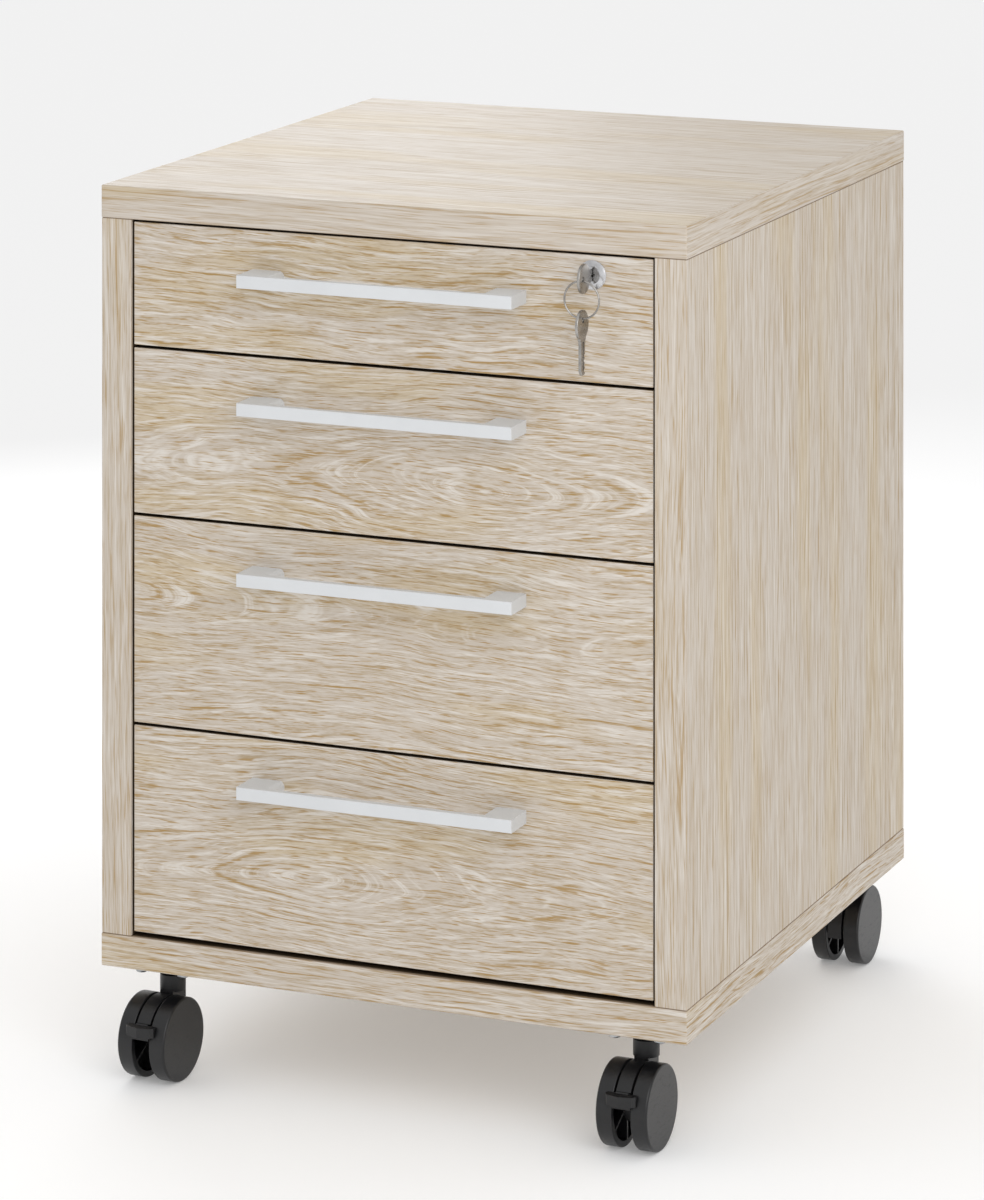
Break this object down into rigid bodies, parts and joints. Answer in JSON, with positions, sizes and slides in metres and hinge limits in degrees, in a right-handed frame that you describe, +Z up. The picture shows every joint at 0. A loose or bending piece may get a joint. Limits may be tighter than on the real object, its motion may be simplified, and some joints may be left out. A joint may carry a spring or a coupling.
{
  "type": "rolling pedestal cabinet",
  "caption": "Low drawer cabinet on casters: inset oak-look fronts with bar pulls, a key lock on the top drawer and swivelling twin-wheel casters, the front ones with brakes.",
  "frame": {"origin": "on the floor, under the middle of the whole object's box", "axes": "+X right as seen from the front, -Y the drawer fronts, +Z up"},
  "size_m": [0.42, 0.483, 0.598],
  "materials": {
    "oak_top": "matte",
    "oak_bottom": "matte",
    "oak_sides": "matte",
    "oak_fronts": "matte",
    "oak_back": "matte",
    "drawer_board": "matte",
    "zinc": "matte",
    "runner_steel": "matte",
    "roller_nylon": "matte",
    "handle_silver": "satin",
    "lock_nickel": "polished",
    "key_steel": "satin",
    "caster_black": "satin",
    "wheel_black": "satin",
    "plate_black": "matte",
    "beech": "matte"
  },
  "bodies": {
    "cabinet": {"top_panel": "oak_top", "bottom_panel": "oak_bottom", "side_panel_right": "oak_sides", "side_panel_left": "oak_sides", "back_panel": "oak_back", "cam_housings": "zinc", "cam_bolts": "zinc", "dowels": "beech", "cabinet_runners": "runner_steel", "carcass_screws": "zinc", "bar_guides": "roller_nylon", "caster_plates": "plate_black"},
    "drawer_1": {"drawer_1_front": "oak_fronts", "drawer_1_box": "drawer_board", "drawer_1_runners": "runner_steel", "drawer_1_handle": "handle_silver", "drawer_1_screws": "zinc", "lock_housing": "lock_nickel"},
    "drawer_2": {"drawer_2_front": "oak_fronts", "drawer_2_box": "drawer_board", "drawer_2_runners": "runner_steel", "drawer_2_handle": "handle_silver", "drawer_2_screws": "zinc"},
    "drawer_3": {"drawer_3_front": "oak_fronts", "drawer_3_box": "drawer_board", "drawer_3_runners": "runner_steel", "drawer_3_handle": "handle_silver", "drawer_3_screws": "zinc"},
    "drawer_4": {"drawer_4_front": "oak_fronts", "drawer_4_box": "drawer_board", "drawer_4_runners": "runner_steel", "drawer_4_handle": "handle_silver", "drawer_4_screws": "zinc"},
    "cabinet_rollers_1": {"cabinet_rollers_1": "roller_nylon"},
    "drawer_rollers_1": {"drawer_1_rollers": "roller_nylon"},
    "cabinet_rollers_2": {"cabinet_rollers_2": "roller_nylon"},
    "drawer_rollers_2": {"drawer_2_rollers": "roller_nylon"},
    "cabinet_rollers_3": {"cabinet_rollers_3": "roller_nylon"},
    "drawer_rollers_3": {"drawer_3_rollers": "roller_nylon"},
    "cabinet_rollers_4": {"cabinet_rollers_4": "roller_nylon"},
    "drawer_rollers_4": {"drawer_4_rollers": "roller_nylon"},
    "lock": {"lock_plug": "lock_nickel", "key": "key_steel"},
    "locking_bar": {"locking_bar": "zinc"},
    "key_ring": {"key_ring": "key_steel"},
    "spare_key": {"spare_key": "key_steel"},
    "caster_front_left": {"caster_front_left_hood": "caster_black"},
    "caster_front_left_wheel_left": {"caster_front_left_wheel_left": "wheel_black"},
    "caster_front_left_wheel_right": {"caster_front_left_wheel_right": "wheel_black"},
    "caster_front_left_pedal": {"caster_front_left_pedal": "caster_black"},
    "caster_front_right": {"caster_front_right_hood": "caster_black"},
    "caster_front_right_wheel_left": {"caster_front_right_wheel_left": "wheel_black"},
    "caster_front_right_wheel_right": {"caster_front_right_wheel_right": "wheel_black"},
    "caster_front_right_pedal": {"caster_front_right_pedal": "caster_black"},
    "caster_rear_left": {"caster_rear_left_hood": "caster_black"},
    "caster_rear_left_wheel_left": {"caster_rear_left_wheel_left": "wheel_black"},
    "caster_rear_left_wheel_right": {"caster_rear_left_wheel_right": "wheel_black"},
    "caster_rear_right": {"caster_rear_right_hood": "caster_black"},
    "caster_rear_right_wheel_left": {"caster_rear_right_wheel_left": "wheel_black"},
    "caster_rear_right_wheel_right": {"caster_rear_right_wheel_right": "wheel_black"}
  },
  "joints": [
    {"name": "drawer_1_slide", "type": "slide", "parent": "cabinet", "child": "drawer_1", "axis": [0, -1, 0], "range_m": [0, 0.3]},
    {"name": "drawer_2_slide", "type": "slide", "parent": "cabinet", "child": "drawer_2", "axis": [0, -1, 0], "range_m": [0, 0.3]},
    {"name": "drawer_3_slide", "type": "slide", "parent": "cabinet", "child": "drawer_3", "axis": [0, -1, 0], "range_m": [0, 0.3]},
    {"name": "drawer_4_slide", "type": "slide", "parent": "cabinet", "child": "drawer_4", "axis": [0, -1, 0], "range_m": [0, 0.3]},
    {"name": "roller_cabinet_1_turn", "type": "hinge", "parent": "cabinet", "child": "cabinet_rollers_1", "pos_m": [0, -0.15775, 0.5109], "axis": [1, 0, 0], "continuous": true},
    {"name": "roller_drawer_1_turn", "type": "hinge", "parent": "drawer_1", "child": "drawer_rollers_1", "pos_m": [0, 0.19305, 0.5105], "axis": [1, 0, 0], "continuous": true},
    {"name": "roller_cabinet_2_turn", "type": "hinge", "parent": "cabinet", "child": "cabinet_rollers_2", "pos_m": [0, -0.15775, 0.3985], "axis": [1, 0, 0], "continuous": true},
    {"name": "roller_drawer_2_turn", "type": "hinge", "parent": "drawer_2", "child": "drawer_rollers_2", "pos_m": [0, 0.19305, 0.3981], "axis": [1, 0, 0], "continuous": true},
    {"name": "roller_cabinet_3_turn", "type": "hinge", "parent": "cabinet", "child": "cabinet_rollers_3", "pos_m": [0, -0.15775, 0.2582], "axis": [1, 0, 0], "continuous": true},
    {"name": "roller_drawer_3_turn", "type": "hinge", "parent": "drawer_3", "child": "drawer_rollers_3", "pos_m": [0, 0.19305, 0.2578], "axis": [1, 0, 0], "continuous": true},
    {"name": "roller_cabinet_4_turn", "type": "hinge", "parent": "cabinet", "child": "cabinet_rollers_4", "pos_m": [0, -0.15775, 0.1179], "axis": [1, 0, 0], "continuous": true},
    {"name": "roller_drawer_4_turn", "type": "hinge", "parent": "drawer_4", "child": "drawer_rollers_4", "pos_m": [0, 0.19305, 0.1175], "axis": [1, 0, 0], "continuous": true},
    {"name": "key_turn", "type": "hinge", "parent": "drawer_1", "child": "lock", "pos_m": [0.1445, -0.21555, 0.5618], "axis": [0, -1, 0], "range_deg": [0, 90]},
    {"name": "locking_bar_slide", "type": "slide", "parent": "cabinet", "child": "locking_bar", "axis": [0, 0, -1], "range_m": [0, 0.0081]},
    {"name": "key_ring_swing", "type": "hinge", "parent": "lock", "child": "key_ring", "pos_m": [0.1445, -0.23185, 0.5618], "axis": [1, 0, 0], "range_deg": [-45, 7]},
    {"name": "spare_key_swing", "type": "hinge", "parent": "key_ring", "child": "spare_key", "pos_m": [0.1445, -0.23185, 0.5357], "axis": [1, 0, 0], "range_deg": [-45, 7]},
    {"name": "swivel_front_left", "type": "hinge", "parent": "cabinet", "child": "caster_front_left", "pos_m": [-0.1709, -0.18535, 0.062], "axis": [0, 0, 1], "continuous": true},
    {"name": "wheel_front_left_left", "type": "hinge", "parent": "caster_front_left", "child": "caster_front_left_wheel_left", "pos_m": [-0.17189, -0.20152, 0.0275], "axis": [0.9981, -0.061, 0], "continuous": true},
    {"name": "wheel_front_left_right", "type": "hinge", "parent": "caster_front_left", "child": "caster_front_left_wheel_right", "pos_m": [-0.17189, -0.20152, 0.0275], "axis": [0.9981, -0.061, 0], "continuous": true},
    {"name": "pedal_front_left", "type": "hinge", "parent": "caster_front_left", "child": "caster_front_left_pedal", "pos_m": [-0.17189, -0.20152, 0.0275], "axis": [0.9981, -0.061, 0], "range_deg": [0, 14]},
    {"name": "swivel_front_right", "type": "hinge", "parent": "cabinet", "child": "caster_front_right", "pos_m": [0.1709, -0.18535, 0.062], "axis": [0, 0, 1], "continuous": true},
    {"name": "wheel_front_right_left", "type": "hinge", "parent": "caster_front_right", "child": "caster_front_right_wheel_left", "pos_m": [0.17062, -0.20155, 0.0275], "axis": [0.9998, -0.0175, 0], "continuous": true},
    {"name": "wheel_front_right_right", "type": "hinge", "parent": "caster_front_right", "child": "caster_front_right_wheel_right", "pos_m": [0.17062, -0.20155, 0.0275], "axis": [0.9998, -0.0175, 0], "continuous": true},
    {"name": "pedal_front_right", "type": "hinge", "parent": "caster_front_right", "child": "caster_front_right_pedal", "pos_m": [0.17062, -0.20155, 0.0275], "axis": [0.9998, -0.0175, 0], "range_deg": [0, 14]},
    {"name": "swivel_rear_left", "type": "hinge", "parent": "cabinet", "child": "caster_rear_left", "pos_m": [-0.1709, 0.19785, 0.062], "axis": [0, 0, 1], "continuous": true},
    {"name": "wheel_rear_left_left", "type": "hinge", "parent": "caster_rear_left", "child": "caster_rear_left_wheel_left", "pos_m": [-0.1709, 0.21405, 0.0275], "axis": [-1, 0, 0], "continuous": true},
    {"name": "wheel_rear_left_right", "type": "hinge", "parent": "caster_rear_left", "child": "caster_rear_left_wheel_right", "pos_m": [-0.1709, 0.21405, 0.0275], "axis": [-1, 0, 0], "continuous": true},
    {"name": "swivel_rear_right", "type": "hinge", "parent": "cabinet", "child": "caster_rear_right", "pos_m": [0.1709, 0.19785, 0.062], "axis": [0, 0, 1], "continuous": true},
    {"name": "wheel_rear_right_left", "type": "hinge", "parent": "caster_rear_right", "child": "caster_rear_right_wheel_left", "pos_m": [0.1709, 0.21405, 0.0275], "axis": [-1, 0, 0], "continuous": true},
    {"name": "wheel_rear_right_right", "type": "hinge", "parent": "caster_rear_right", "child": "caster_rear_right_wheel_right", "pos_m": [0.1709, 0.21405, 0.0275], "axis": [-1, 0, 0], "continuous": true}
  ],
  "couplings": [
    {"joint": "roller_cabinet_1_turn", "follows": "drawer_1_slide", "rad_per_m": 125},
    {"joint": "roller_drawer_1_turn", "follows": "drawer_1_slide", "rad_per_m": 125},
    {"joint": "roller_cabinet_2_turn", "follows": "drawer_2_slide", "rad_per_m": 125},
    {"joint": "roller_drawer_2_turn", "follows": "drawer_2_slide", "rad_per_m": 125},
    {"joint": "roller_cabinet_3_turn", "follows": "drawer_3_slide", "rad_per_m": 125},
    {"joint": "roller_drawer_3_turn", "follows": "drawer_3_slide", "rad_per_m": 125},
    {"joint": "roller_cabinet_4_turn", "follows": "drawer_4_slide", "rad_per_m": 125},
    {"joint": "roller_drawer_4_turn", "follows": "drawer_4_slide", "rad_per_m": 125},
    {"joint": "locking_bar_slide", "follows": "key_turn", "m_per_rad": 0.005093}
  ]
}
